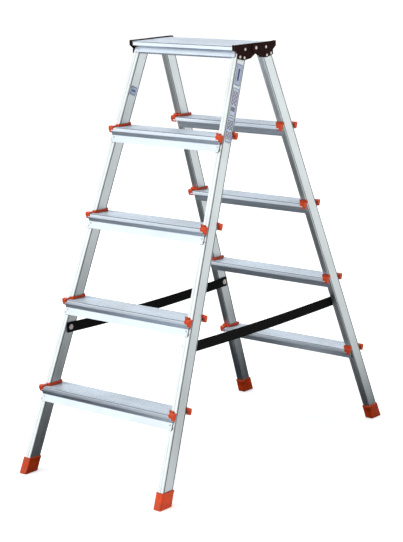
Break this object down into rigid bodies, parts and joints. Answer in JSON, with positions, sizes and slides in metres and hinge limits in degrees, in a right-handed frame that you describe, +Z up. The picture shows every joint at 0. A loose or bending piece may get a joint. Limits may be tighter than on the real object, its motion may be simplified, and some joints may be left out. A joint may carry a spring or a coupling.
{
  "type": "step ladder",
  "caption": "Double-sided folding step ladder with ribbed treads, a flat top platform, plastic end caps and feet, and side straps.",
  "frame": {"origin": "on the floor under the middle of the open ladder", "axes": "+Z up, +X to the ladder's right, -Y towards its front side"},
  "size_m": [0.5322, 1.0726, 1.2015],
  "materials": {
    "stile": "satin, drawn along its length",
    "tread": "satin, ribbed top",
    "plastic": "moulded orange-red plastic",
    "hinge": "dark brown powder coat",
    "rivet": "plain",
    "webbing": "woven flat webbing"
  },
  "bodies": {
    "front_frame": {"front_foot_left": "plastic", "front_foot_right": "plastic", "front_hinge_plate_left": "hinge", "front_hinge_plate_right": "hinge", "front_hinge_rivet_left_1": "rivet", "front_hinge_rivet_left_2": "rivet", "front_hinge_rivet_left_3": "rivet", "front_hinge_rivet_right_1": "rivet", "front_hinge_rivet_right_2": "rivet", "front_hinge_rivet_right_3": "rivet", "front_platform": "tread", "front_stile_left": "stile", "front_stile_right": "stile", "front_strap_rivet_left": "rivet", "front_strap_rivet_right": "rivet", "front_tread_1": "tread", "front_tread_1_cap_left": "plastic", "front_tread_1_cap_right": "plastic", "front_tread_2": "tread", "front_tread_2_cap_left": "plastic", "front_tread_2_cap_right": "plastic", "front_tread_3": "tread", "front_tread_3_cap_left": "plastic", "front_tread_3_cap_right": "plastic", "front_tread_4": "tread", "front_tread_4_cap_left": "plastic", "front_tread_4_cap_right": "plastic", "hinge_pivot_left": "rivet", "hinge_pivot_right": "rivet", "strap_left": "webbing", "strap_right": "webbing"},
    "rear_frame": {"rear_foot_left": "plastic", "rear_foot_right": "plastic", "rear_hinge_plate_left": "hinge", "rear_hinge_plate_right": "hinge", "rear_hinge_rivet_left_1": "rivet", "rear_hinge_rivet_left_2": "rivet", "rear_hinge_rivet_left_3": "rivet", "rear_hinge_rivet_right_1": "rivet", "rear_hinge_rivet_right_2": "rivet", "rear_hinge_rivet_right_3": "rivet", "rear_platform": "tread", "rear_stile_left": "stile", "rear_stile_right": "stile", "rear_strap_rivet_left": "rivet", "rear_strap_rivet_right": "rivet", "rear_tread_1": "tread", "rear_tread_1_cap_left": "plastic", "rear_tread_1_cap_right": "plastic", "rear_tread_2": "tread", "rear_tread_2_cap_left": "plastic", "rear_tread_2_cap_right": "plastic", "rear_tread_3": "tread", "rear_tread_3_cap_left": "plastic", "rear_tread_3_cap_right": "plastic", "rear_tread_4": "tread", "rear_tread_4_cap_left": "plastic", "rear_tread_4_cap_right": "plastic"}
  },
  "joints": [
    {"name": "fold", "type": "hinge", "parent": "front_frame", "child": "rear_frame", "pos_m": [0, 0, 1.188], "axis": [-1, 0, 0], "range_deg": [0, 42], "deforming": ["strap_left", "strap_right"]}
  ]
}
